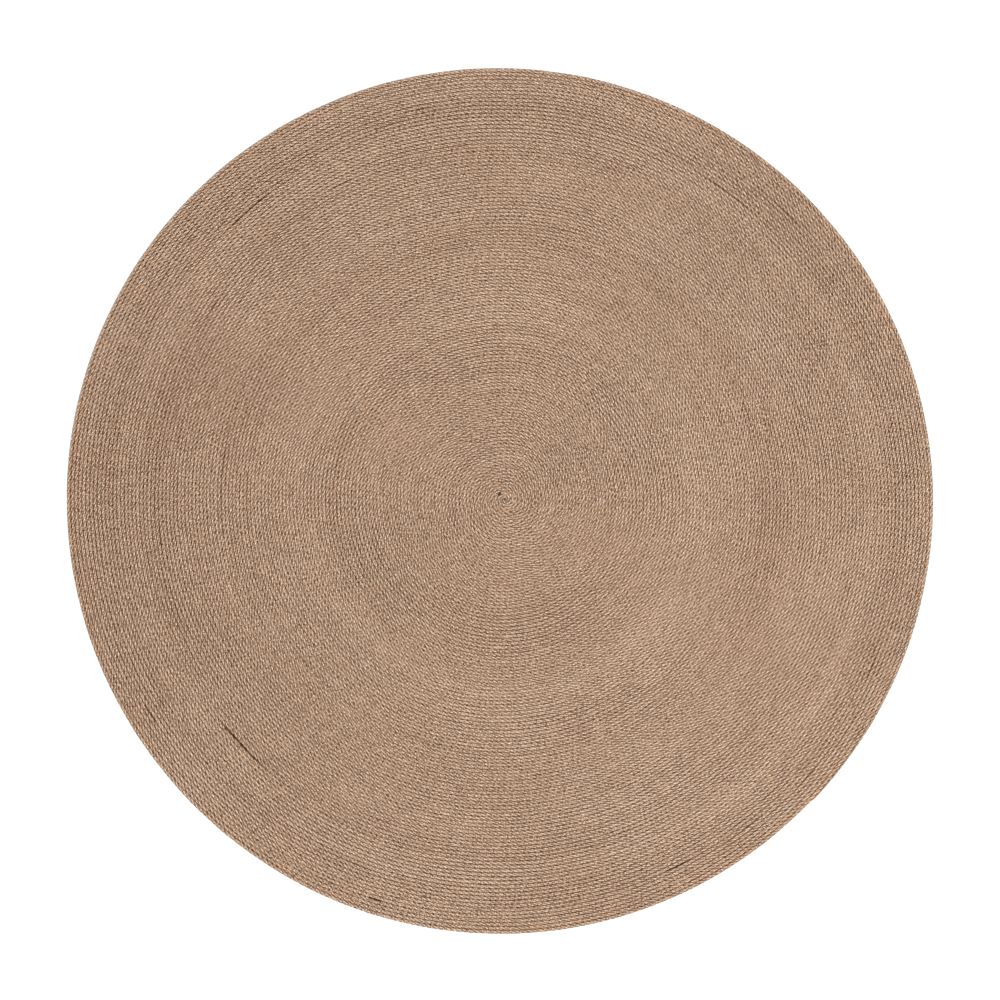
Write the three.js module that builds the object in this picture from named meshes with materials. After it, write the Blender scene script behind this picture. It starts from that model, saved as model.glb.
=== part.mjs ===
// Round rug of twisted jute cord. Lengths of cord follow one another in a flat spiral that starts
// near the middle, and sewing thread under the seams holds turn to turn.
// Millimetres, +Z up, origin on the floor under the middle of the rug.
import * as THREE from "three";

// Overall sizes
const rugDiameter = 1500;
const cordHeight = 6.4; // floor to top of a sewn turn
const turnPitch = 6.15; // from one turn to the next on average, pressed together by the sewing
const pitchGrowth = 0.05; // share by which the turns lie closer at the middle and wider at the rim

// The winding: turns are counted from the centre, and it grows clockwise seen from above
const fullLengths = 11; // about equal lengths of cord, before the short one that closes the rim
const rimCordTurns = 1.27;
const tailAngle = THREE.MathUtils.degToRad(-44); // where the rim cord ends
const startOffset = new THREE.Vector2(10, 2.6); // the start lies this far off the middle

// The rim cord narrows to its tail, and the outer turns give way outwards to keep the rim round
const tailWidth = 2;
const taperTurns = 0.075;
const givingTurns = 24;

// The outline is a circle with shallow hand-made lobes
const lobes = [
  { count: 2, depth: 1.25, peak: THREE.MathUtils.degToRad(135) },
  { count: 3, depth: 0.6, peak: THREE.MathUtils.degToRad(23) },
  { count: 4, depth: 0.5, peak: THREE.MathUtils.degToRad(89) },
];

// The section of a turn: flat on top and where it presses on its neighbour, sloping between
const seamGap = 0.3; // between neighbouring pieces
const topFlat = 2;
const sideFlat = 1.2;

// Sewing thread, in the groove under a seam
const threadDiameter = 1;
const threadLift = 0.3; // clear of the floor

const outlineCorners = 48;

const fullTurn = 2 * Math.PI;
const turns = rugDiameter / 2 / turnPitch - 0.5; // to the middle of the cord at its tail
const cornerAngles = Array.from({ length: outlineCorners }, (_, i) => (fullTurn * i) / outlineCorners);

const cordMaterials = ["#b0927a", "#a98b70", "#b89a80"].map(
  (color) => new THREE.MeshStandardMaterial({ color, roughness: 0.95, metalness: 0 }),
);
const threadMaterial = new THREE.MeshStandardMaterial({ color: "#d8ccb4", roughness: 0.8, metalness: 0 });

function outlineRadius(angle) {
  const swell = lobes.map((lobe) => lobe.depth * Math.cos(lobe.count * (angle - lobe.peak)));
  return rugDiameter / 2 + swell.reduce((sum, value) => sum + value, 0);
}

// How far the seam outside a turn gives way, from all but the tail's width where the rim starts its
// last round to nothing where it ends it
function rimPush(turn) {
  const passed = 1 - ((turns - turn) % 1); // share of a round since the tail's angle
  const underTail = turn > turns - 1 ? 0 : Math.max(0, 1 - (1 - passed) / taperTurns);
  const reach = THREE.MathUtils.clamp(1 - (turns - 1 - turn) / givingTurns, 0, 1);
  return (turnPitch * (1 + pitchGrowth) - tailWidth) * (1 - passed + passed * underTail) * reach;
}

// The point at this angle on the seam outside a turn, moved outwards by offset
function seamPoint(turn, angle, offset) {
  const wound = (turn + 0.5) / (turns + 0.5);
  const share = wound * (1 + pitchGrowth * (wound - 1));
  const radius = share * outlineRadius(angle) + rimPush(turn) + offset;
  const direction = new THREE.Vector2(Math.cos(angle), Math.sin(angle));
  return direction.multiplyScalar(radius).addScaledVector(startOffset, 1 - share);
}

// The turn, counted from the centre, that the last round before endTurn has reached at this angle
function turnAt(endTurn, angle) {
  const behind = endTurn - turns - (tailAngle - angle) / fullTurn;
  return endTurn - (behind - Math.floor(behind));
}

// The seam around everything wound up to endTurn, closed by the slant of the cord's end
function seamLoop(endTurn, offset) {
  return cornerAngles.map((angle) => seamPoint(turnAt(endTurn, angle), angle, offset));
}

// A length of cord is spent after this many turns; a spiral's length grows with the turns squared
function endTurnOf(length) {
  return (turns - rimCordTurns) * Math.sqrt(length / fullLengths);
}

// The outer shape of all the turns of one length of cord
function coilGeometry(startTurn, endTurn) {
  const shape = new THREE.Shape(seamLoop(endTurn, -seamGap / 2));
  if (startTurn > 0) {
    shape.holes.push(new THREE.Path(seamLoop(startTurn, seamGap / 2)));
  }
  const slopeWidth = (turnPitch - seamGap - topFlat) / 2;
  const slopeHeight = (cordHeight - sideFlat) / 2;
  const geometry = new THREE.ExtrudeGeometry(shape, {
    depth: sideFlat,
    bevelEnabled: true,
    bevelSegments: 1,
    bevelThickness: slopeHeight,
    bevelSize: slopeWidth,
    bevelOffset: -slopeWidth,
  });
  return geometry.translate(0, 0, slopeHeight);
}

// One round of thread along the seam outside endTurn
function threadGeometry(endTurn) {
  const byTurn = [...cornerAngles].sort((a, b) => turnAt(endTurn, a) - turnAt(endTurn, b));
  const side = (offset) => byTurn.map((angle) => seamPoint(turnAt(endTurn, angle), angle, offset));
  const outline = [...side(threadDiameter / 2), ...side(-threadDiameter / 2).reverse()];
  const geometry = new THREE.ExtrudeGeometry(new THREE.Shape(outline), {
    depth: threadDiameter,
    bevelEnabled: false,
  });
  return geometry.translate(0, 0, threadLift);
}

function piece(name, geometry, material) {
  const mesh = new THREE.Mesh(geometry, material);
  mesh.name = name;
  return mesh;
}

function cordPieces() {
  const pieces = [];
  for (let length = 1; length <= fullLengths; length += 1) {
    const geometry = coilGeometry(endTurnOf(length - 1), endTurnOf(length));
    pieces.push(piece(`cord_length_${length}`, geometry, cordMaterials[length % cordMaterials.length]));
  }
  pieces.push(piece("rim_cord", coilGeometry(endTurnOf(fullLengths), turns), cordMaterials[0]));
  return pieces;
}

function threadPieces() {
  const pieces = [];
  for (let length = 1; length <= fullLengths; length += 1) {
    pieces.push(piece(`seam_thread_${length}`, threadGeometry(endTurnOf(length)), threadMaterial));
  }
  return pieces;
}

const rug = new THREE.Group();
rug.add(...cordPieces(), ...threadPieces());

const outlineBox = new THREE.Box2().setFromPoints(seamLoop(turns, 0));
const middle = outlineBox.getCenter(new THREE.Vector2());
rug.position.set(-middle.x, -middle.y, 0);

export default rug;
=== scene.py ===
from math import cos, log, pi, radians, sin, sqrt

import bpy
import numpy as np
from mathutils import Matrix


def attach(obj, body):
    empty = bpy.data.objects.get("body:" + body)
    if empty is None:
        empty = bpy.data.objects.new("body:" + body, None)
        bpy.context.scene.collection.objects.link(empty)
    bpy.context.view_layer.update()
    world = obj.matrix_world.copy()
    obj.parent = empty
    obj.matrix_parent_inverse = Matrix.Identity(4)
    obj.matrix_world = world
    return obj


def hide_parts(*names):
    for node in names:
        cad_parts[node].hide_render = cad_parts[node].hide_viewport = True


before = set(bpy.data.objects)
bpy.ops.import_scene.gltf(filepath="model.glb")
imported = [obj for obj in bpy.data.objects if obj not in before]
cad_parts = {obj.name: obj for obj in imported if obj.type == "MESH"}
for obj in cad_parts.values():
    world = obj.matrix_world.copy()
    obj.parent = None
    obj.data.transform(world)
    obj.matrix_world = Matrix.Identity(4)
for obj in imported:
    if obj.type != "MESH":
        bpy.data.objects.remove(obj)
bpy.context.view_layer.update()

# The rug is one flat spiral, counted in turns from its start near the middle. Metres.
rug = {
    "diameter": 1.5,
    "pitch": 0.00615,  # from one turn to the next, on average
    "pitchGrowth": 0.05,  # the middle is wound this share tighter, and the rim looser
    "height": 0.0064,
    "fullLengths": 11,  # equal lengths of cord, before the one that closes the rim
    "rimTurns": 1.27,
    "tailAngle": radians(-44),
    "startOffset": (0.010, 0.0026),
    "startTurn": 0.12,
    "tailWidth": 0.002,  # what the rim cord has narrowed to where it ends
    "taperTurns": 0.075,
    "givingTurns": 24,  # the turns that give way outwards to keep the rim round
    "lobes": ((2, 0.00125, radians(135)), (3, 0.0006, radians(23)), (4, 0.0005, radians(89))),
}
turns = rug["diameter"] / 2 / rug["pitch"] - 0.5
rimPitch = rug["pitch"] * (1 + rug["pitchGrowth"])

# How the hand-wound spiral strays from the even one
winding = {
    "seed": 11,
    "driftWaves": 14,  # slow changes of pitch across the rug
    "driftAround": (0, 5),  # least and most waves in a round
    "driftAcross": (3, 11),
    "driftDepth": 0.0020,
    "rippleWaves": 18,  # quick sideways wobble shared by neighbouring turns
    "rippleAround": (9, 42),
    "rippleAcross": (2, 16),
    "rippleDepth": 0.0007,
    "middleFade": 8,  # how soon the strays grow from nothing at the middle
    "rimFade": 14,  # and at the rim
    "jitterDepth": 0.00012,  # each turn's own wander
    "jitterLengths": (0.06, 0.5),
    "waveDepth": 0.0006,  # how far the rug lifts off the floor between its low places
    "waves": ((5.1, 2.3, 0.4), (-3.2, 6.4, 2.0), (9.0, -4.0, 1.1)),  # along x, along y, phase
    # seams that have opened: x, y, half length, width
    "openSeams": (
        (-0.4790, 0.0430, 0.050, 0.0009),
        (-0.4360, 0.5050, 0.052, 0.0010),
        (0.3960, 0.5360, 0.055, 0.0009),
        (0.4980, 0.4930, 0.030, 0.0010),
        (-0.6040, -0.3670, 0.022, 0.0010),
        (-0.4480, -0.4240, 0.060, 0.0010),
        (-0.2150, -0.6830, 0.012, 0.0011),
        (0.5280, -0.4720, 0.019, 0.0007),
        (0.0005, 0.0118, 0.0050, 0.0036),
    ),
    "smallSeams": 70,
    "smallSeamReach": 0.72,  # as far from the middle as they come
    "smallSeamHalf": (0.008, 0.028),
    "smallSeamWidth": (0.0004, 0.0008),
    "seamSpread": 5,  # turns over which the neighbours give way to an open seam
    "seamFullness": 1.15,  # how blunt its ends are
}


def wander(along, shortest, longest, seed, waves=6):
    dice = np.random.default_rng(seed)
    lengths = np.exp(dice.uniform(log(shortest), log(longest), waves))
    phases = dice.uniform(0, 2 * pi, waves)
    return np.sin(2 * pi * np.asarray(along)[..., None] / lengths + phases).sum(-1) / sqrt(waves)


def outlineRadius(angle):
    return rug["diameter"] / 2 + sum(deep * np.cos(n * (angle - peak)) for n, deep, peak in rug["lobes"])


def angleAt(turn):
    return rug["tailAngle"] + 2 * pi * (turns - turn)


def shareAt(turn):
    wound = turn / (turns + 0.5)
    return wound * (1 + rug["pitchGrowth"] * (wound - 1))


def place(share, angle):
    radius = share * outlineRadius(angle)
    x = rug["startOffset"][0] * (1 - share) + radius * np.cos(angle)
    y = rug["startOffset"][1] * (1 - share) + radius * np.sin(angle)
    return np.stack([x, y], -1)


def rimPush(turn):
    # how far the seam outside a turn gives way to the last round of the rim
    passed = 1 - (turns - turn) % 1
    underTail = np.where(turn > turns - 1, 0, np.clip(1 - (1 - passed) / rug["taperTurns"], 0, 1))
    reach = np.clip(1 - (turns - 1 - turn) / rug["givingTurns"], 0, 1)
    return (rimPitch - rug["tailWidth"]) * (1 - passed + passed * underTail) * reach


def pushBend(turn):
    # how the push of one seam differs from the mean of the seams beside it
    return (rimPush(turn + 1) - 2 * rimPush(turn) + rimPush(turn - 1)) / 4


lastRound = np.linspace(turns - 1, turns, 721)
lastShare = shareAt(lastRound + 0.5) + rimPush(lastRound) / outlineRadius(angleAt(lastRound))
lastSeam = place(lastShare, angleAt(lastRound))
middle = (lastSeam.min(0) + lastSeam.max(0)) / 2

# the length of cord wound up at each turn
turnTable = np.linspace(0, turns + 1, 60001)
stride = np.hypot(*np.diff(place(shareAt(turnTable), angleAt(turnTable)), axis=0).T)
alongTable = np.concatenate([[0], np.cumsum(stride)])


def alongAt(turn):
    return np.interp(turn, turnTable, alongTable)


def turnAlong(along):
    return np.interp(along, alongTable, turnTable)


dice = np.random.default_rng(winding["seed"])


def rollWaves(count, around, across):
    return [
        (dice.integers(*around), dice.uniform(*across), dice.uniform(0, 2 * pi), dice.uniform(0, 2 * pi))
        for _ in range(count)
    ]


driftRolls = rollWaves(winding["driftWaves"], winding["driftAround"], winding["driftAcross"])
rippleRolls = rollWaves(winding["rippleWaves"], winding["rippleAround"], winding["rippleAcross"])


def waveSum(rolls, share, angle):
    total = 0
    for around, across, phaseA, phaseB in rolls:
        total = total + np.cos(around * angle + phaseA) * np.sin(pi * across * share + phaseB)
    return total


def drift(share, angle):
    slow = waveSum(driftRolls, share, angle) * winding["driftDepth"] / sqrt(winding["driftWaves"])
    quick = waveSum(rippleRolls, share, angle) * share
    quick = quick * winding["rippleDepth"] / sqrt(winding["rippleWaves"])
    fade = np.clip(share * winding["middleFade"], 0, 1) * np.clip((1 - share) * winding["rimFade"], 0, 1)
    return (slow + quick) * fade


def seamNear(x, y):
    # the turn and angle of the seam that passes this place
    share, angle = 0.5, 0.0
    for _ in range(12):
        dx = x + middle[0] - rug["startOffset"][0] * (1 - share)
        dy = y + middle[1] - rug["startOffset"][1] * (1 - share)
        angle = np.arctan2(dy, dx)
        share = np.hypot(dx, dy) / outlineRadius(angle)
    turn = np.interp(share, shareAt(turnTable), turnTable) - 0.5
    atTail = (rug["tailAngle"] - angle) / (2 * pi)
    behind = (turn - turns - atTail) % 1
    return turn - behind + (behind > 0.5), angle


def openSeamList():
    seams = [(*seamNear(x, y), half, width) for x, y, half, width in winding["openSeams"]]
    for _ in range(winding["smallSeams"]):
        radius = winding["smallSeamReach"] * sqrt(dice.uniform(0.02, 1))
        bearing = dice.uniform(0, 2 * pi)
        turn, angle = seamNear(radius * cos(bearing), radius * sin(bearing))
        half = dice.uniform(*winding["smallSeamHalf"])
        width = dice.uniform(*winding["smallSeamWidth"])
        seams.append((turn, angle, half, width))
    return seams


openSeams = openSeamList()


def opening(turn, angle):
    # how far the open seams push a turn outwards
    total = np.zeros_like(turn)
    spread = winding["seamSpread"]
    for openTurn, openAngle, half, width in openSeams:
        away = (angle - openAngle + pi) % (2 * pi) - pi
        beyond = turn - (openTurn - away / (2 * pi)) - 0.5
        reach = (away * rug["pitch"] * (openTurn + 0.5)) / half
        bump = np.clip(winding["seamFullness"] * np.exp(-(reach**4)), 0, 1) * (np.abs(away) < pi / 2)
        side = np.where(beyond > 0, np.exp(-beyond / spread), -np.exp(beyond / spread)) / 2
        total += width * bump * side
    return total


def centreLine(turn):
    angle = angleAt(turn)
    share = shareAt(turn)
    slide = drift(share, angle) + opening(turn, angle) + (rimPush(turn) + rimPush(turn - 1)) / 2
    jitter = wander(alongAt(turn), *winding["jitterLengths"], 5)
    slide += winding["jitterDepth"] * jitter * np.clip(turn - 1, 0, 1)
    return place(share + slide / outlineRadius(angle), angle) - middle


def lift(xy):
    # the rug doesn't lie quite flat
    x, y = xy[..., 0], xy[..., 1]
    swell = sum(np.sin(a * x + b * y + phase) for a, b, phase in winding["waves"])
    return winding["waveDepth"] * np.clip(0.5 + swell / 4, 0, None)


def tubes(name, rings, links=None, uv=None):
    # rings: tube, station, corner, xyz; every tube is closed by a fan at both ends
    count, stations, corners, _ = rings.shape
    each = stations * corners
    points = np.concatenate([rings.reshape(-1, 3), rings[:, 0].mean(1), rings[:, -1].mean(1)])
    tube = np.arange(count)[:, None, None] * each
    at = np.arange(stations - 1)[None, :, None] * corners
    corner = np.arange(corners)[None, None, :]
    after = (corner + 1) % corners
    low, high = tube + at, tube + at + corners
    quads = np.stack([low + corner, low + after, high + after, high + corner], -1).reshape(-1, 4)
    first, last = tube[:, 0] + corner[0], tube[:, 0] + each - corners + corner[0]
    firstNext, lastNext = tube[:, 0] + after[0], tube[:, 0] + each - corners + after[0]
    startHub = np.broadcast_to(count * each + np.arange(count)[:, None], first.shape)
    endHub = startHub + count
    fans = np.concatenate([
        np.stack([startHub, firstNext, first], -1).reshape(-1, 3),
        np.stack([endHub, last, lastNext], -1).reshape(-1, 3),
    ])
    mesh = bpy.data.meshes.new(name)
    mesh.vertices.add(len(points))
    mesh.vertices.foreach_set("co", points.astype(np.float32).ravel())
    mesh.loops.add(quads.size + fans.size)
    mesh.loops.foreach_set("vertex_index", np.concatenate([quads.ravel(), fans.ravel()]).astype(np.int32))
    mesh.polygons.add(len(quads) + len(fans))
    starts = np.concatenate([np.arange(len(quads)) * 4, quads.size + np.arange(len(fans)) * 3])
    mesh.polygons.foreach_set("loop_start", starts.astype(np.int32))
    mesh.polygons.foreach_set("use_smooth", np.ones(len(quads) + len(fans), bool))
    mesh.update(calc_edges=True)
    for key, values in (links or {}).items():
        body = values.reshape(-1, 3)
        hubs = np.concatenate([values[:, 0].mean(1), values[:, -1].mean(1)])
        layer = mesh.attributes.new(key, "FLOAT_VECTOR", "POINT")
        layer.data.foreach_set("vector", np.concatenate([body, hubs]).astype(np.float32).ravel())
    if uv is not None:
        layer = mesh.uv_layers.new(name="OFBake")
        layer.data.foreach_set("uv", uv(quads, fans).astype(np.float32).ravel())
    piece = bpy.data.objects.new(name, mesh)
    bpy.context.collection.objects.link(piece)
    return piece


class Wire:
    # a node's socket that sums can be written with
    def __init__(self, tree, socket):
        self.tree = tree
        self.socket = socket

    def math(self, operation, *values):
        return addNode(self.tree, "ShaderNodeMath", {"operation": operation}, dict(enumerate(values)))

    def other(self, name):
        return Wire(self.tree, self.socket.node.outputs[name])

    def __add__(self, other):
        return self.math("ADD", self, other)

    def __radd__(self, other):
        return self.math("ADD", other, self)

    def __sub__(self, other):
        return self.math("SUBTRACT", self, other)

    def __rsub__(self, other):
        return self.math("SUBTRACT", other, self)

    def __mul__(self, other):
        return self.math("MULTIPLY", self, other)

    def __rmul__(self, other):
        return self.math("MULTIPLY", other, self)

    def __pow__(self, other):
        return self.math("POWER", self, other)

    def arcTangent(self, other):
        return self.math("ARCTAN2", self, other)

    def cosine(self):
        return self.math("COSINE", self)

    def __abs__(self):
        return self.math("ABSOLUTE", self)


def addNode(tree, kind, settings, sockets, output=0):
    node = tree.nodes.new(kind)
    for key, value in settings.items():
        if key == "stops":
            ramp = node.color_ramp.elements
            while len(ramp) < len(value):
                ramp.new(0.5)
            for stop, (position, colour) in zip(ramp, value):
                stop.position = position
                stop.color = colour
        else:
            setattr(node, key, value)
    for key, value in sockets.items():
        if isinstance(value, Wire):
            tree.links.new(value.socket, node.inputs[key])
        else:
            node.inputs[key].default_value = value
    return Wire(tree, node.outputs[output])


def shade(code):
    # a colour from its web code, made linear
    parts = [int(code[i : i + 2], 16) / 255 for i in (1, 3, 5)]
    return tuple(p / 12.92 if p <= 0.04045 else ((p + 0.055) / 1.055) ** 2.4 for p in parts) + (1.0,)


def mixColour(factor, first, second, way="MIX"):
    settings = {"data_type": "RGBA", "blend_type": way}
    return addNode(factor.tree, "ShaderNodeMix", settings, {0: factor, 6: first, 7: second}, 2)


def newMaterial(name):
    material = bpy.data.materials.new(name)
    material.use_nodes = True
    return material, material.node_tree, material.node_tree.nodes["Principled BSDF"]


def plug(tree, value, socket):
    tree.links.new(value.socket, socket)


jute = {
    # the tone ramp: its darkest end is partly painted shadow between fibres, its lightest end partly
    # painted glint
    "shades": ((0.0, "#42281a"), (0.25, "#a47d5e"), (0.5, "#d4b297"), (0.75, "#eed3ba"), (1.0, "#faead9")),
    "crease": "#4a2a14",  # painted shade between the strands and where turns press together; the next value is how strong it is
    "creaseShadeStrength": 0.93,
    "seam": "#48260f",  # painted shade down in an open seam
    "shadeTint": (1.0, 0.85, 0.70, 1.0),  # what light that comes off other fibres does to the colour
    # how fine each kind of mark is, along the cord and round it
    "frayGrain": (45, 15, 15),
    "streakGrain": (420, 6, 6),
    "streakFray": (2.6, 0, 0),
    "fleckGrain": (560, 2.6, 2.6),
    "fleckFray": (3.6, 0, 0),
    "yarnGrain": (9, 1.1, 1.1),
    "slubGrain": (38, 1.6, 1.6),
    "bandGrain": (0.55, 0, 0),
    "cloudGrain": 5.0,
    "pocketGrain": (75, 1.3, 1.3),
    "gapGrain": (60, 1.0, 1.0),
    "middleTone": 0.525,
    "streaks": 1.05,  # how much each of these sways the tone
    "flecks": 1.85,
    "yarns": 0.3,
    "slubs": 0.15,
    "bands": 0.25,
    "clouds": 0.2,
    "lots": 0.08,
    "paintedShadeLeft": (0.045, -0.58, 0.0, 0.62),  # painted shade, darker towards the left: how much, where, and how far it reaches
    # painted light, lighter towards the lower right
    "paintedLightLowerRight": (0.04, 0.5, -0.5, 0.6),
    "warmShade": "#b98a6c",
    "stainSpot": (0.45, 0.0015, 0.0015, 0.0075),
    "pinkSpot": (0.4, 0.4390, 0.5970, 0.012),
    "roughness": 0.92,
    "rimTint": (0.98, 0.80, 0.62, 1.0),
    "rimFrom": (0.728, 0.742),  # the last rows turn a little redder between these radii
    # painted shade: the outer edge of the rim turns greyer
    "paintedEdgeShade": "#c4b8b0",
    "edgeFrom": (0.7475, 0.7505),
    "stain": "#7f8069",
    "pinkFibre": "#c98f7c",
}


def attribute(tree, name):
    return addNode(tree, "ShaderNodeAttribute", {"attribute_name": name}, {}, "Vector")


def noise(tree, vector, scale, detail=2.0):
    sockets = {"Vector": vector, "Scale": scale, "Detail": detail, "Roughness": 0.5}
    return addNode(tree, "ShaderNodeTexNoise", {}, sockets, "Fac")


def stretched(tree, vector, factors, pushed=None, push=None):
    # scaled, and moved along by another value if there is one
    scaled = addNode(tree, "ShaderNodeVectorMath", {"operation": "MULTIPLY"}, {0: vector, 1: factors})
    if pushed is None:
        return scaled
    sockets = {0: pushed, 1: push, 2: scaled}
    return addNode(tree, "ShaderNodeVectorMath", {"operation": "MULTIPLY_ADD"}, sockets)


def grain(tree, vector, step):
    # noise without its slow part: light and dark follow each other along the cord
    ahead = addNode(tree, "ShaderNodeVectorMath", {"operation": "ADD"}, {0: vector, 1: (step, 0, 0)})
    return noise(tree, vector, 1.0, 0.0) - noise(tree, ahead, 1.0, 0.0)


def clamped(tree, value):
    return addNode(tree, "ShaderNodeClamp", {}, {"Value": value, "Min": 0.0, "Max": 1.0})


def fading(tree, spot, x, y, core, radius, most=1.0):
    # the most at a place on the rug, fading to 0 between these radii
    distance = {"operation": "DISTANCE"}
    away = addNode(tree, "ShaderNodeVectorMath", distance, {0: spot, 1: (x, y, 0)}, "Value")
    sockets = {"Value": away, "From Min": core, "From Max": radius, "To Min": most, "To Max": 0.0}
    return addNode(tree, "ShaderNodeMapRange", {"interpolation_type": "SMOOTHSTEP"}, sockets)


def patch(tree, spot, numbers):
    most, x, y, radius = numbers
    return fading(tree, spot, x, y, 0.0, radius, most)


def juteMaterial():
    material, tree, skin = newMaterial("twisted jute")
    # metres of cord, and the direction round it that turns with the twist
    strand = attribute(tree, "strandLie")
    fibre = attribute(tree, "fibreLie")  # the same, but the direction stays put
    # each length's own tone lot, and how far the seam gapes, which places the painted seam shade
    wear = attribute(tree, "wear")
    strandParts = addNode(tree, "ShaderNodeSeparateXYZ", {}, {0: strand}, "Y")
    lobe = abs((cord["strands"] / 2 * strandParts.other("Z").arcTangent(strandParts)).cosine())
    across = addNode(tree, "ShaderNodeSeparateXYZ", {}, {0: fibre}, "Y")
    side = across * across
    crease = 1.0 - lobe
    lot = addNode(tree, "ShaderNodeSeparateXYZ", {}, {0: wear}, "X")
    gape = lot.other("Y")
    spot = addNode(tree, "ShaderNodeTexCoord", {}, {}, "Object")
    flat = stretched(tree, spot, (1, 1, 0))
    # fine fibres start and stop at different places, so the flecks get frayed ends
    fray = noise(tree, stretched(tree, strand, jute["frayGrain"]), 1.0, 1.0)
    streaks = grain(tree, stretched(tree, fibre, jute["streakGrain"], fray, jute["streakFray"]), 1.0)
    # flecks: partly the fibres' own lighter and darker tone, partly painted shadow between fibres and
    # painted glints
    flecks = grain(tree, stretched(tree, strand, jute["fleckGrain"], fray, jute["fleckFray"]), 1.1)
    yarn = noise(tree, stretched(tree, strand, jute["yarnGrain"]), 1.0)
    slubs = noise(tree, stretched(tree, strand, jute["slubGrain"]), 1.0)
    bands = noise(tree, stretched(tree, strand, jute["bandGrain"]), 1.0)
    clouds = noise(tree, flat, jute["cloudGrain"], 3.0)
    tone = jute["streaks"] * streaks + jute["flecks"] * flecks + jute["middleTone"]
    tone = tone + jute["yarns"] * (yarn - 0.5) + jute["slubs"] * (slubs - 0.5)
    tone = tone + jute["bands"] * (bands - 0.5) + jute["clouds"] * (clouds - 0.5)
    tone = tone + jute["lots"] * (lot - 0.5)
    # painted shade on the left and painted light at the lower right
    tone = tone - patch(tree, flat, jute["paintedShadeLeft"]) + patch(tree, flat, jute["paintedLightLowerRight"])
    stops = [(position, shade(code)) for position, code in jute["shades"]]
    colour = addNode(tree, "ShaderNodeValToRGB", {"stops": stops}, {0: tone}, "Color")
    warm = noise(tree, flat, 3.1, 2.0)
    colour = mixColour(0.22 * (warm - 0.35), colour, shade(jute["warmShade"]))
    colour = mixColour(patch(tree, flat, jute["stainSpot"]), colour, shade(jute["stain"]))
    colour = mixColour(patch(tree, flat, jute["pinkSpot"]), colour, shade(jute["pinkFibre"]))
    colour = mixColour(0.8 * crease + 0.7 * side, colour, jute["shadeTint"], "MULTIPLY")
    pockets = noise(tree, stretched(tree, strand, jute["pocketGrain"]), 1.0, 1.0)
    pockets = clamped(tree, 3.4 * (pockets - 0.35))
    gaps = noise(tree, stretched(tree, fibre, jute["gapGrain"]), 1.0, 1.0)
    gaps = clamped(tree, 3.4 * (gaps - 0.35))
    # painted shade: darker in the creases between strands and down the cord's sides, deeper in random
    # pockets and gaps
    dark = jute["creaseShadeStrength"] * crease**2.6 * (0.45 + 0.9 * pockets) + side**3 * (0.2 + 1.1 * gaps)
    colour = mixColour(dark, colour, shade(jute["crease"]))
    rim = 1.0 - fading(tree, flat, 0, 0, *jute["rimFrom"])
    colour = mixColour(rim * (0.1 + 0.9 * (warm - 0.45)), colour, jute["rimTint"], "MULTIPLY")
    # painted shade on the outermost edge of the rim
    edge = 1.0 - fading(tree, flat, 0, 0, *jute["edgeFrom"])
    colour = mixColour(0.5 * edge, colour, shade(jute["paintedEdgeShade"]))
    # painted shade down the sides of a seam that gapes
    paintedSeamShade = gape * side * (0.7 + 0.7 * gaps)
    colour = mixColour(paintedSeamShade, colour, shade(jute["seam"]))
    plug(tree, colour, skin.inputs["Base Color"])
    plug(tree, 0.08 * streaks + (jute["roughness"] - 0.04), skin.inputs["Roughness"])
    relief = streaks - 0.9 * crease**3
    bumpSockets = {"Strength": 1.0, "Distance": 0.0006, "Height": relief}
    plug(tree, addNode(tree, "ShaderNodeBump", {}, bumpSockets), skin.inputs["Normal"])
    skin.inputs["Specular IOR Level"].default_value = 0.05
    return material


def plainFibre(name, light, dark, scale):
    material, tree, skin = newMaterial(name)
    spot = addNode(tree, "ShaderNodeTexCoord", {}, {}, "Object")
    grain = noise(tree, spot, scale, 3.0)
    stops = [(0.3, shade(dark)), (0.7, shade(light))]
    colour = addNode(tree, "ShaderNodeValToRGB", {"stops": stops}, {0: grain}, "Color")
    plug(tree, colour, skin.inputs["Base Color"])
    plug(tree, 0.1 * grain + 0.8, skin.inputs["Roughness"])
    skin.inputs["Specular IOR Level"].default_value = 0.25
    return material


cord = {
    "lay": 0.0306,  # one full twist of the three strands
    "strands": 3,
    "corners": 12,
    "squareness": 0.72,  # 1 is an ellipse, less is squarer
    "stationsPerLay": 9,
    "valley": 0.5,  # how deep the groove between strands goes, of the radius
    "widest": 0.00325,  # half width where a seam has opened
    "gapeFrom": 0.0035,  # half the distance between turns above which their seam gapes
    "gapeRamp": 0.0003,
    "lowPress": 0.14,  # how much further the cord spreads under an open seam
    "press": 1.1,  # how far a turn bulges into its neighbour
    "splice": 0.030,  # how long one end lies slanting beside the next length
    "startTaper": 0.0015,
    "tailTaper": 0.007,
    "endWidth": 0.12,  # of the full width
    "endHeight": 0.45,
    "twistStray": ((0.45, 0.2, 0.9, 21), (0.14, 0.03, 0.1, 22)),  # depth, shortest, longest, seed
    "twistStep": 1.7,  # from one length to the next
    "fat": 0.07,  # how much the strands swell and thin
    "fatWidth": 0.75,
    "fatLengths": (0.009, 0.05),
    "fatSeed": 31,
    "tallStray": (0.04, 0.05, 0.4, 41),
    "middleStep": 0.16,  # stations stand this far round the first turns, in radians
    "leastStep": 0.0004,
    "lotSeed": 3,
    "rowStations": 210,  # stations in a row of the baked map
}


def lengthEnds():
    full = turns - rug["rimTurns"]
    ends = [full * sqrt(k / rug["fullLengths"]) for k in range(rug["fullLengths"] + 1)]
    ends[0] = rug["startTurn"]
    return ends + [turns]


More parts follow.
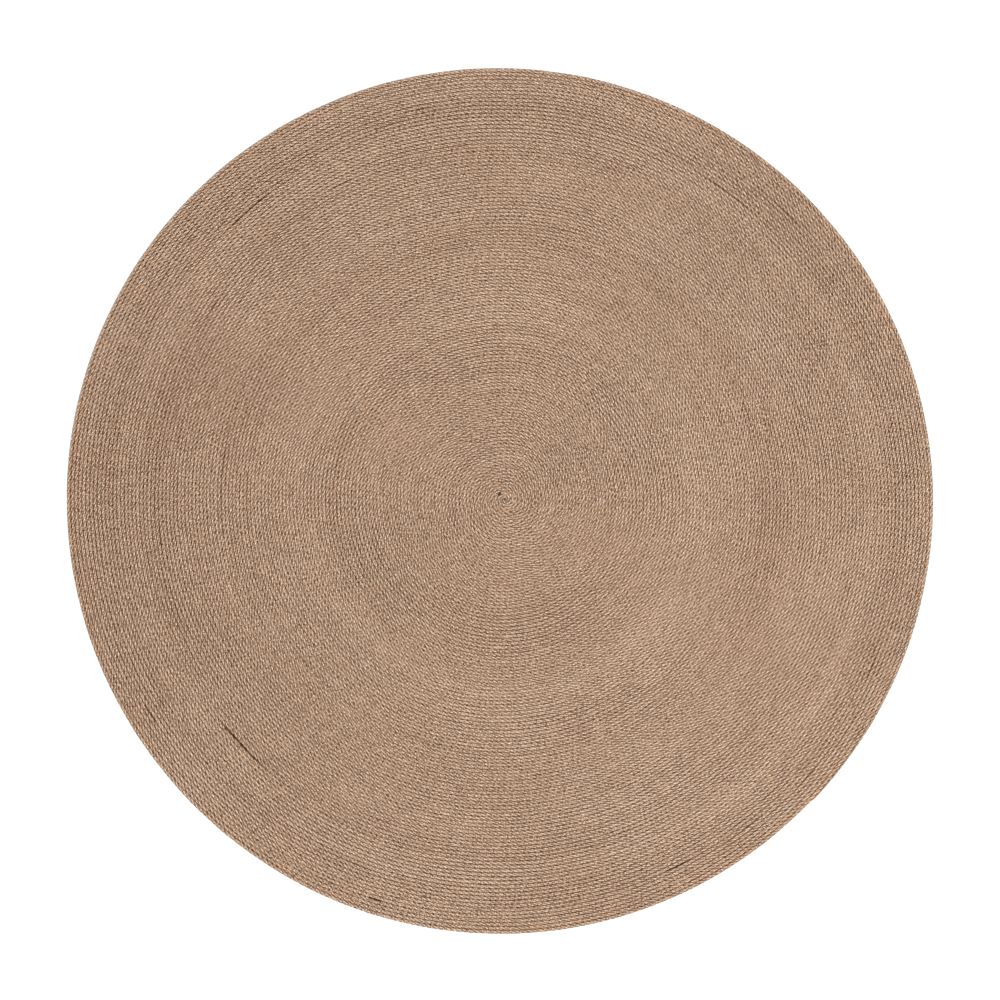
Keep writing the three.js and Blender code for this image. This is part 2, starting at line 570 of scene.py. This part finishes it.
def stationsBetween(start, end):
    step = cord["lay"] / cord["stationsPerLay"]
    stations, along = [], start
    while along < end and turnAlong(along) * rug["pitch"] * cord["middleStep"] < step:
        stations.append(along)
        along += max(turnAlong(along) * rug["pitch"] * cord["middleStep"], cord["leastStep"])
    count = max(2, int(round((end - along) / step)) + 1)
    return np.concatenate([stations, np.linspace(along, end, count)])


def squared(part):
    # flattens the round section a little towards a square
    return np.sign(part) * np.abs(part) ** cord["squareness"]


def cordSection(along, number, first, last):
    turn = turnAlong(along)
    angle = angleAt(turn)
    here = centreLine(turn)
    inner = np.hypot(*(here - centreLine(np.maximum(turn - 1, 0))).T) / 2
    outer = np.hypot(*(centreLine(turn + 1) - here).T) / 2
    closed = rug["pitch"] * (0.5 + 0.5 * np.sin(pi * turn))  # the first turn has nothing inside it
    inner = np.where(turn < 1, closed, inner + pushBend(turn - 1))
    rimHalf = (rimPitch + rimPush(turn) - rimPush(turn - 1)) / 2
    outer = np.where(turn > turns - 1, rimHalf, outer - pushBend(turn))
    inner, outer = inner * cord["press"], outer * cord["press"]
    inner = np.where(turn < 1, np.minimum(inner, 1.5 * rug["pitch"] * turn), inner)

    twist = 2 * pi * along / cord["lay"] + cord["twistStep"] * number
    for depth, shortest, longest, seed in cord["twistStray"]:
        twist = twist + depth * wander(along, shortest, longest, seed)
    around = 2 * pi * np.arange(cord["corners"]) / cord["corners"]
    beta = around[None, :] + 0 * along[:, None]
    alpha = beta + twist[:, None]
    lobe = np.abs(np.cos(cord["strands"] * beta / 2))
    fat = 0
    for strand in range(cord["strands"]):
        gap = (beta - 2 * pi * strand / cord["strands"] + pi) % (2 * pi) - pi
        near = np.exp(-((gap / cord["fatWidth"]) ** 2))
        fat = fat + near * wander(along, *cord["fatLengths"], cord["fatSeed"] + strand, 9)[:, None]
    radius = 1 - cord["valley"] * (1 - lobe) + cord["fat"] * fat

    # each end runs out in a slant beside the next length
    runIn = cord["splice"] if number > 1 else cord["startTaper"]
    spliceIn = np.clip((along - first) / runIn, 0, 1)
    runOut = cord["splice"] if number <= rug["fullLengths"] else cord["tailTaper"]
    spliceOut = np.clip((last - along) / runOut, 0, 1)
    width = np.maximum(spliceIn * spliceOut, cord["endWidth"])
    shift = (1 - spliceIn) * outer * (number > 1) - (1 - spliceOut) * inner
    half = np.where(np.cos(alpha) > 0, outer[:, None], inner[:, None])
    gape = np.clip((half / cord["press"] - cord["gapeFrom"]) / cord["gapeRamp"], 0, 1)
    upper = np.clip(np.sin(alpha) * 2 + 0.6, 0, 1)  # an open seam is a groove that closes lower down
    half = half * (1 + cord["lowPress"] * gape * (1 - upper))
    half = half + upper * (np.minimum(half, cord["widest"]) - half)
    half = half * width[:, None]
    fill = 3 + 7 * np.clip(2 * np.sin(alpha), 0, 1)
    radius += (1 - radius) * np.abs(np.cos(alpha)) ** fill  # no groove where turns press together
    depth, shortest, longest, seed = cord["tallStray"]
    tall = rug["height"] / 2 * (1 + depth * wander(along, shortest, longest, seed))
    tall = tall * (cord["endHeight"] + (1 - cord["endHeight"]) * width)

    sideways = half * radius * squared(np.cos(alpha)) + shift[:, None]
    upward = tall[:, None] * (radius * squared(np.sin(alpha)) + 1)
    upward = np.maximum(upward, 0.0001) + lift(here)[:, None]
    out = np.stack([np.cos(angle), np.sin(angle)], -1)
    ahead = np.gradient(here, axis=0)
    ahead /= np.maximum(np.hypot(*ahead.T), 1e-9)[:, None]
    normal = np.stack([-ahead[:, 1], ahead[:, 0]], -1)
    normal *= np.sign((normal * out).sum(-1))[:, None]
    lean = np.clip(1.5 - turn, 0, 1)[:, None]  # the first turn closes on the middle
    normal += lean * (out - normal)
    flat = here[:, None, :] + normal[:, None, :] * sideways[..., None]
    ring = np.concatenate([flat, upward[..., None]], -1)

    lot = lots[number - 1] + 0 * alpha
    far = along[:, None] + 0 * alpha
    links = {
        "strandLie": np.stack([far, np.cos(beta), np.sin(beta)], -1)[None],
        "fibreLie": np.stack([far, np.cos(alpha), np.sin(alpha)], -1)[None],
        # each length's own tone lot, and how far the seam gapes for the painted seam shade
        "wear": np.stack([lot, gape, 0 * lot], -1)[None],
    }
    return ring[None], links


def rowMap(stations):
    # the baked map holds the cord as rows of one stretch each
    corners, row = cord["corners"], cord["rowStations"]
    rows = int(np.ceil((stations - 1) / row))

    def layOut(quads, fans):
        station = np.repeat(np.arange(stations - 1), corners)
        corner = np.tile(np.arange(corners), stations - 1)
        across = (station % row)[:, None] + np.array([0, 0, 1, 1])
        upward = corner[:, None] + np.array([0, 1, 1, 0])
        u = 0.002 + 0.996 * across / row
        v = ((station // row)[:, None] + 0.04 + 0.92 * upward / corners) / rows
        body = np.stack([u, v], -1).reshape(-1, 2)
        ends = np.tile([[0.0005, 0.0005], [0.0015, 0.0005], [0.001, 0.0015]], (len(fans), 1))
        return np.concatenate([body, ends])

    return layOut


lots = np.random.default_rng(cord["lotSeed"]).uniform(0, 1, rug["fullLengths"] + 1)


def makeCords(material):
    ends = lengthEnds()
    pieces = []
    for number in range(1, rug["fullLengths"] + 2):
        first, last = alongAt(ends[number - 1]), alongAt(ends[number])
        half = cord["splice"] / 2
        first = first - half * (number > 1)
        last = last + half * (number <= rug["fullLengths"])
        rings, links = cordSection(stationsBetween(first, last), number, first, last)
        node = f"cord_length_{number}" if number <= rug["fullLengths"] else "rim_cord"
        piece = tubes(f"jute_{node}", rings, links, rowMap(rings.shape[1]))
        piece.data.materials.append(material)
        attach(piece, "root")
        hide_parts(node)
        pieces.append(piece)
    print("cord:", sum(len(p.data.polygons) for p in pieces), "faces in", len(pieces), "lengths")
    return pieces


thread = {"radius": 0.00035, "stitch": 0.009, "reach": 0.0016, "low": 0.00048, "high": 0.0010, "corners": 3}


def threadRings(start, end):
    along = np.arange(alongAt(start), alongAt(end), thread["stitch"] / 2)
    turn = turnAlong(along)
    inner, outer = centreLine(turn), centreLine(turn + 1)
    across = outer - inner
    across /= np.hypot(*across.T)[:, None]
    beat = np.arange(len(along)) % 4
    side = np.choose(beat, [-1, 0, 1, 0])
    high = np.choose(beat, [1, 0, 1, 0])
    seam = (inner + outer) / 2 + across * (side * thread["reach"])[:, None]
    height = thread["low"] + (thread["high"] - thread["low"]) * high + lift(seam)
    path = np.concatenate([seam, height[:, None]], -1)
    ahead = np.gradient(path, axis=0)
    ahead /= np.linalg.norm(ahead, axis=1)[:, None]
    right = np.cross(ahead, (0, 0, 1.0))
    right /= np.linalg.norm(right, axis=1)[:, None]
    up = np.cross(right, ahead)
    around = 2 * pi * np.arange(thread["corners"]) / thread["corners"] - pi / 2
    ring = right[:, None] * np.cos(around)[None, :, None] - up[:, None] * np.sin(around)[None, :, None]
    return (path[:, None] + thread["radius"] * ring)[None]


def makeThreads(material):
    ends = lengthEnds()
    faces = 0
    for number in range(1, rug["fullLengths"] + 1):
        start = max(ends[number - 1], 1.0)
        piece = tubes(f"stitches_{number}", threadRings(start, min(ends[number], turns - 1.02)))
        piece.data.materials.append(material)
        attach(piece, "root")
        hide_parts(f"seam_thread_{number}")
        faces += len(piece.data.polygons)
    print("thread:", faces, "faces")


fuzz = {
    "seed": 17,
    "count": 4200,
    "radius": 0.00006,
    "lengths": (0.005, 0.024),
    "rises": (0.0004, 0.0026),  # how far they stand off the cord
    "stray": 0.7,  # from the cord's direction, in radians
    "curl": 1.1,
    "side": 0.0012,
    "points": 6,
    "corners": 3,
}


def makeFuzz(material):
    dice = np.random.default_rng(fuzz["seed"])
    count, points = fuzz["count"], fuzz["points"]
    turn = turns * np.sqrt(dice.uniform(0.0004, 1, count))
    root = centreLine(turn)
    angle = angleAt(turn)
    heading = angle - pi / 2 + dice.normal(0, fuzz["stray"], count) + pi * (dice.uniform(0, 1, count) < 0.5)
    length = dice.uniform(*fuzz["lengths"], count) * dice.uniform(0.4, 1, count)
    curl = dice.normal(0, fuzz["curl"], count)
    rise = dice.uniform(*fuzz["rises"], count)
    side = dice.normal(0, fuzz["side"], count)
    step = np.linspace(0, 1, points)
    turning = heading[:, None] + curl[:, None] * step
    stride = length[:, None] / (points - 1)
    x = root[:, :1] + np.cumsum(np.cos(turning) * stride, 1) + side[:, None] * np.cos(angle)[:, None]
    y = root[:, 1:] + np.cumsum(np.sin(turning) * stride, 1) + side[:, None] * np.sin(angle)[:, None]
    base = rug["height"] * 0.93 + lift(root)
    z = base[:, None] + rise[:, None] * np.sin(pi * step * 0.8)
    path = np.stack([x, y, z], -1)
    ahead = np.gradient(path, axis=1)
    ahead /= np.linalg.norm(ahead, axis=-1)[..., None]
    right = np.cross(ahead, (0, 0, 1.0))
    right /= np.linalg.norm(right, axis=-1)[..., None]
    up = np.cross(right, ahead)
    around = 2 * pi * np.arange(fuzz["corners"]) / fuzz["corners"]
    ring = right[:, :, None] * np.cos(around)[:, None] - up[:, :, None] * np.sin(around)[:, None]
    taper = (1 - 0.6 * step)[None, :, None, None]
    piece = tubes("loose_fibres", path[:, :, None] + fuzz["radius"] * taper * ring)
    piece.data.materials.append(material)
    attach(piece, "root")
    print("fuzz:", len(piece.data.polygons), "faces")


studio = {
    "floor": "#f4f3f1",
    "viewWidth": 1.730,  # what the camera sees across at the rug
    "cameraHeight": 4.2,
    "cameraForward": 0.002,
    "sensor": 36,
    "sky": 0.36,
    "key": {"place": (0.45, -0.45, 5.2), "size": 2.6, "power": 317},
}


def makeStudio():
    scene = bpy.context.scene
    bpy.ops.mesh.primitive_plane_add(size=14, location=(0, 0, -0.0004))
    floor = bpy.context.object
    floor.name = "floor"
    material, tree, skin = newMaterial("pale floor")
    skin.inputs["Base Color"].default_value = shade(studio["floor"])
    skin.inputs["Roughness"].default_value = 0.9
    skin.inputs["Specular IOR Level"].default_value = 0.1
    floor.data.materials.append(material)

    world = bpy.data.worlds.new("soft light")
    world.use_nodes = True
    world.node_tree.nodes["Background"].inputs["Color"].default_value = (1, 1, 1, 1)
    world.node_tree.nodes["Background"].inputs["Strength"].default_value = studio["sky"]
    scene.world = world
    lamp = bpy.data.lights.new("key", "AREA")
    lamp.size = studio["key"]["size"]
    lamp.energy = studio["key"]["power"]
    holder = bpy.data.objects.new("key", lamp)
    holder.location = studio["key"]["place"]
    holder.rotation_euler = (-holder.location).to_track_quat("-Z", "Y").to_euler()
    scene.collection.objects.link(holder)

    lens = bpy.data.cameras.new("overhead")
    lens.sensor_width = studio["sensor"]
    top = rug["height"]
    lens.lens = studio["sensor"] * (studio["cameraHeight"] - top) / studio["viewWidth"]
    camera = bpy.data.objects.new("overhead", lens)
    camera.location = (0, studio["cameraForward"], studio["cameraHeight"])
    scene.collection.objects.link(camera)
    scene.camera = camera
    scene.view_settings.view_transform = "Standard"


makeStudio()
print("studio ready")
makeCords(juteMaterial())
makeThreads(plainFibre("natural cotton thread", "#e6dcc6", "#c9bb9d", 900))
makeFuzz(plainFibre("loose jute fibre", "#e9d3b4", "#a98a68", 60))
